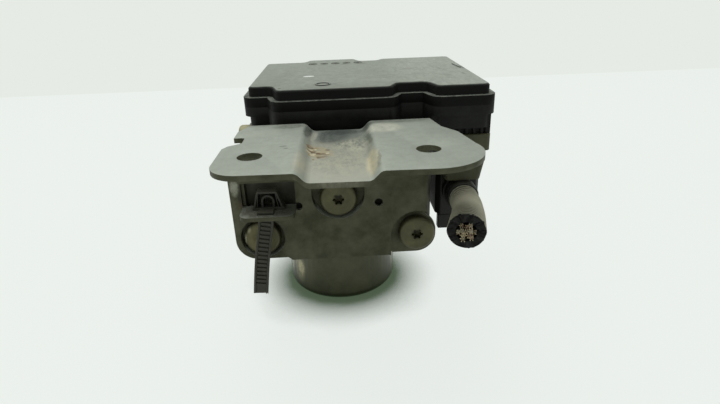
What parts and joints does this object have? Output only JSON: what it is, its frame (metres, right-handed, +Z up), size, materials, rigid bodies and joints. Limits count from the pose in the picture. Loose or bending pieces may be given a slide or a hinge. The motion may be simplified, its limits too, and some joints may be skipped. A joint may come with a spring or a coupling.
{
  "type": "abs brake module",
  "caption": "Anti-lock brake module: electric motor under an aluminium valve block, control unit on top, pressed steel bracket in front and a lever-locked plug with a cut wiring stub.",
  "frame": {"origin": "middle of the flat end face of the motor can", "axes": "+Z up along the motor shaft to the control unit, +X to the plug side, -Y to the bracket side, front"},
  "size_m": [0.1253, 0.1694, 0.1175],
  "materials": {
    "steel_can": "zinc plated, dull",
    "ferrite": "sintered, dark grey",
    "bearing_steel": "ground",
    "lamination": "stamped",
    "copper": "enamelled copper",
    "bronze": "sintered",
    "carbon": "pressed graphite",
    "moulded_black": "fine matt",
    "moulded_olive": "dusty matt",
    "block_metal": "machined, dull anodised",
    "plug_metal": "turned",
    "steel_plug": "yellow zinc, dirty",
    "spring_steel": "drawn wire",
    "tinned": "tinned",
    "board_green": "solder mask",
    "seal_rubber": "matt",
    "seal_silicone": "matt",
    "sleeve_black": "ribbed, dusty",
    "wire_mixed": "insulated copper",
    "bracket_steel": "grey coating, dusty and worn",
    "screw_zinc": "yellow zinc, dirty",
    "tie_nylon": "satin"
  },
  "bodies": {
    "module": {"accumulator_cap_left": "steel_can", "accumulator_cap_right": "steel_can", "accumulator_spring_left": "spring_steel", "accumulator_spring_right": "spring_steel", "board_components": "moulded_black", "bracket": "bracket_steel", "bracket_screws": "screw_zinc", "brush_spring_back": "spring_steel", "brush_spring_front": "spring_steel", "cable_tie": "tie_nylon", "circuit_board": "board_green", "connector_pins": "tinned", "ecu_cover": "moulded_black", "ecu_gasket": "seal_rubber", "ecu_housing": "moulded_black", "ecu_screws": "screw_zinc", "field_magnets": "ferrite", "front_bearing": "bearing_steel", "harness_sleeve": "sleeve_black", "harness_wires": "wire_mixed", "motor_can": "steel_can", "motor_end_plate": "moulded_black", "motor_screws": "screw_zinc", "piston_spring_left": "spring_steel", "piston_spring_right": "spring_steel", "plug_body": "moulded_olive", "plug_cover": "moulded_black", "plug_seal": "seal_silicone", "pump_plug_left": "plug_metal", "pump_plug_right": "plug_metal", "rear_bearing": "bronze", "side_port_plug": "steel_plug", "valve_block": "block_metal", "valve_bodies": "steel_can", "valve_coils": "moulded_black", "valve_springs": "spring_steel"},
    "rotor": {"rotor_shaft": "bearing_steel", "armature_core": "lamination", "armature_winding": "copper", "commutator": "copper"},
    "eccentric_ring": {"eccentric_ring": "bearing_steel"},
    "lock_lever": {"lock_lever": "moulded_black"},
    "brush_front": {"brush_front": "carbon"},
    "brush_back": {"brush_back": "carbon"},
    "pump_piston_left": {"pump_piston_left": "bearing_steel"},
    "accumulator_piston_left": {"accumulator_piston_left": "plug_metal"},
    "pump_piston_right": {"pump_piston_right": "bearing_steel"},
    "accumulator_piston_right": {"accumulator_piston_right": "plug_metal"},
    "valve_plunger_1": {"valve_plunger_1": "bearing_steel"},
    "valve_plunger_2": {"valve_plunger_2": "bearing_steel"},
    "valve_plunger_3": {"valve_plunger_3": "bearing_steel"},
    "valve_plunger_4": {"valve_plunger_4": "bearing_steel"},
    "valve_plunger_5": {"valve_plunger_5": "bearing_steel"},
    "valve_plunger_6": {"valve_plunger_6": "bearing_steel"},
    "valve_plunger_7": {"valve_plunger_7": "bearing_steel"},
    "valve_plunger_8": {"valve_plunger_8": "bearing_steel"}
  },
  "joints": [
    {"name": "rotor_spin", "type": "hinge", "parent": "module", "child": "rotor", "pos_m": [0, 0, 0.02], "axis": [0, 0, 1], "continuous": true},
    {"name": "eccentric_ring_spin", "type": "hinge", "parent": "rotor", "child": "eccentric_ring", "pos_m": [0, 0.001, 0.0532], "axis": [0, 0, 1], "continuous": true},
    {"name": "pump_piston_left_slide", "type": "slide", "parent": "module", "child": "pump_piston_left", "axis": [-1, 0, 0], "range_m": [0, 0.002], "stiffness_N_per_m": 1500, "springref_m": -0.004, "deforming": ["piston_spring_left"]},
    {"name": "pump_piston_right_slide", "type": "slide", "parent": "module", "child": "pump_piston_right", "axis": [1, 0, 0], "range_m": [0, 0.002], "stiffness_N_per_m": 1500, "springref_m": -0.004, "deforming": ["piston_spring_right"]},
    {"name": "accumulator_piston_left_slide", "type": "slide", "parent": "module", "child": "accumulator_piston_left", "axis": [0, 0, -1], "range_m": [0, 0.008], "stiffness_N_per_m": 1000, "springref_m": -0.01, "deforming": ["accumulator_spring_left"]},
    {"name": "accumulator_piston_right_slide", "type": "slide", "parent": "module", "child": "accumulator_piston_right", "axis": [0, 0, -1], "range_m": [0, 0.008], "stiffness_N_per_m": 1000, "springref_m": -0.01, "deforming": ["accumulator_spring_right"]},
    {"name": "valve_plunger_1_slide", "type": "slide", "parent": "module", "child": "valve_plunger_1", "axis": [0, 0, 1], "range_m": [0, 0.0003], "stiffness_N_per_m": 1000, "springref_m": -0.002, "deforming": ["valve_springs"]},
    {"name": "valve_plunger_2_slide", "type": "slide", "parent": "module", "child": "valve_plunger_2", "axis": [0, 0, 1], "range_m": [0, 0.0003], "stiffness_N_per_m": 1000, "springref_m": -0.002, "deforming": ["valve_springs"]},
    {"name": "valve_plunger_3_slide", "type": "slide", "parent": "module", "child": "valve_plunger_3", "axis": [0, 0, 1], "range_m": [0, 0.0003], "stiffness_N_per_m": 1000, "springref_m": -0.002, "deforming": ["valve_springs"]},
    {"name": "valve_plunger_4_slide", "type": "slide", "parent": "module", "child": "valve_plunger_4", "axis": [0, 0, 1], "range_m": [0, 0.0003], "stiffness_N_per_m": 1000, "springref_m": -0.002, "deforming": ["valve_springs"]},
    {"name": "valve_plunger_5_slide", "type": "slide", "parent": "module", "child": "valve_plunger_5", "axis": [0, 0, 1], "range_m": [0, 0.0003], "stiffness_N_per_m": 1000, "springref_m": -0.002, "deforming": ["valve_springs"]},
    {"name": "valve_plunger_6_slide", "type": "slide", "parent": "module", "child": "valve_plunger_6", "axis": [0, 0, 1], "range_m": [0, 0.0003], "stiffness_N_per_m": 1000, "springref_m": -0.002, "deforming": ["valve_springs"]},
    {"name": "valve_plunger_7_slide", "type": "slide", "parent": "module", "child": "valve_plunger_7", "axis": [0, 0, 1], "range_m": [0, 0.0003], "stiffness_N_per_m": 1000, "springref_m": -0.002, "deforming": ["valve_springs"]},
    {"name": "valve_plunger_8_slide", "type": "slide", "parent": "module", "child": "valve_plunger_8", "axis": [0, 0, 1], "range_m": [0, 0.0003], "stiffness_N_per_m": 1000, "springref_m": -0.002, "deforming": ["valve_springs"]},
    {"name": "brush_front_slide", "type": "slide", "parent": "module", "child": "brush_front", "axis": [0, -1, 0], "range_m": [0, 0.0015], "stiffness_N_per_m": 500, "springref_m": -0.004, "deforming": ["brush_spring_front"]},
    {"name": "brush_back_slide", "type": "slide", "parent": "module", "child": "brush_back", "axis": [0, 1, 0], "range_m": [0, 0.0015], "stiffness_N_per_m": 500, "springref_m": -0.004, "deforming": ["brush_spring_back"]},
    {"name": "lock_lever_hinge", "type": "hinge", "parent": "module", "child": "lock_lever", "pos_m": [0.0613, 0.002, 0.0774], "axis": [1, 0, 0], "range_deg": [-80, 0]}
  ],
  "couplings": [
    {"joint": "eccentric_ring_spin", "follows": "rotor_spin", "ratio": -1}
  ]
}
